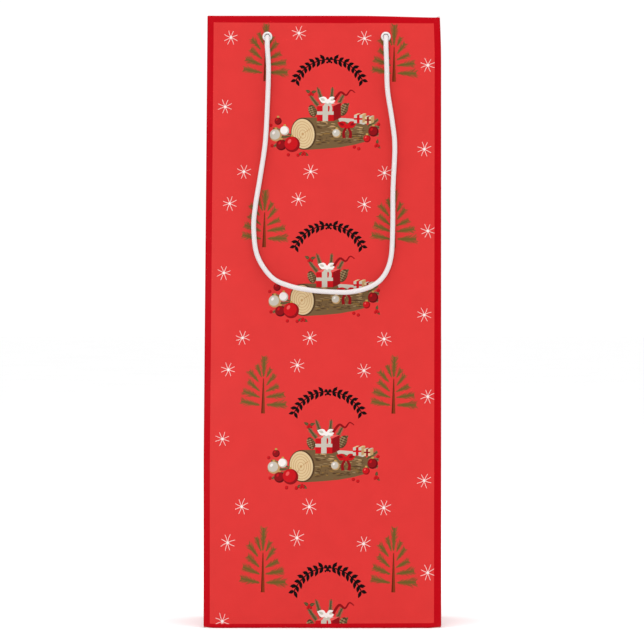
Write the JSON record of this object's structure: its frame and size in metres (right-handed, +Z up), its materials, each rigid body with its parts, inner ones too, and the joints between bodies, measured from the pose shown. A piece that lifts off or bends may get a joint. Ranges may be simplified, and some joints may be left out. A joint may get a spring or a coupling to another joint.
{
  "type": "wine gift bag",
  "caption": "Tall square-bottomed paper carrier bag for one bottle, with a turned-in rim, eyelets, knotted rope handles and a loose base board.",
  "frame": {"origin": "middle of the base, on the surface the bag stands on", "axes": "+Z up along the bag's height, -Y out of the printed front, +X to the right seen from the front"},
  "size_m": [0.1354, 0.0938, 0.349],
  "materials": {
    "printed_paper": "gloss laminated art paper, printed",
    "red_paper": "gloss laminated art paper, printed plain dark red",
    "white_paper": "matt unprinted back of the paper",
    "card": "matt grey-brown board",
    "eyelet": "white, glossy",
    "rope": "white twisted cord, soft sheen"
  },
  "bodies": {
    "bag": {"front_panel": "printed_paper", "back_panel": "printed_paper", "left_gusset_front": "red_paper", "left_gusset_rear": "red_paper", "right_gusset_front": "red_paper", "right_gusset_rear": "red_paper", "side_seam_flap": "white_paper", "front_hem": "red_paper", "back_hem": "red_paper", "left_hem": "red_paper", "right_hem": "red_paper", "front_card": "card", "back_card": "card", "front_base_flap": "red_paper", "back_base_flap": "red_paper", "left_base_flap": "white_paper", "right_base_flap": "white_paper", "front_left_eyelet": "eyelet", "front_right_eyelet": "eyelet", "back_left_eyelet": "eyelet", "back_right_eyelet": "eyelet", "front_left_cord_end": "rope", "front_right_cord_end": "rope", "back_left_cord_end": "rope", "back_right_cord_end": "rope"},
    "front_handle": {"front_handle_cord": "rope"},
    "back_handle": {"back_handle_cord": "rope"},
    "board": {"base_board": "card"}
  },
  "joints": [
    {"name": "front_handle_swing", "type": "hinge", "parent": "bag", "child": "front_handle", "pos_m": [0.0024, -0.0455, 0.337], "axis": [-1, 0, 0], "range_deg": [0, 175]},
    {"name": "back_handle_swing", "type": "hinge", "parent": "bag", "child": "back_handle", "pos_m": [0.0024, 0.0455, 0.337], "axis": [1, 0, 0], "range_deg": [0, 175]},
    {"name": "base_board_lift", "type": "slide", "parent": "bag", "child": "board", "axis": [0, 0, 1], "range_m": [0, 0.3]}
  ]
}
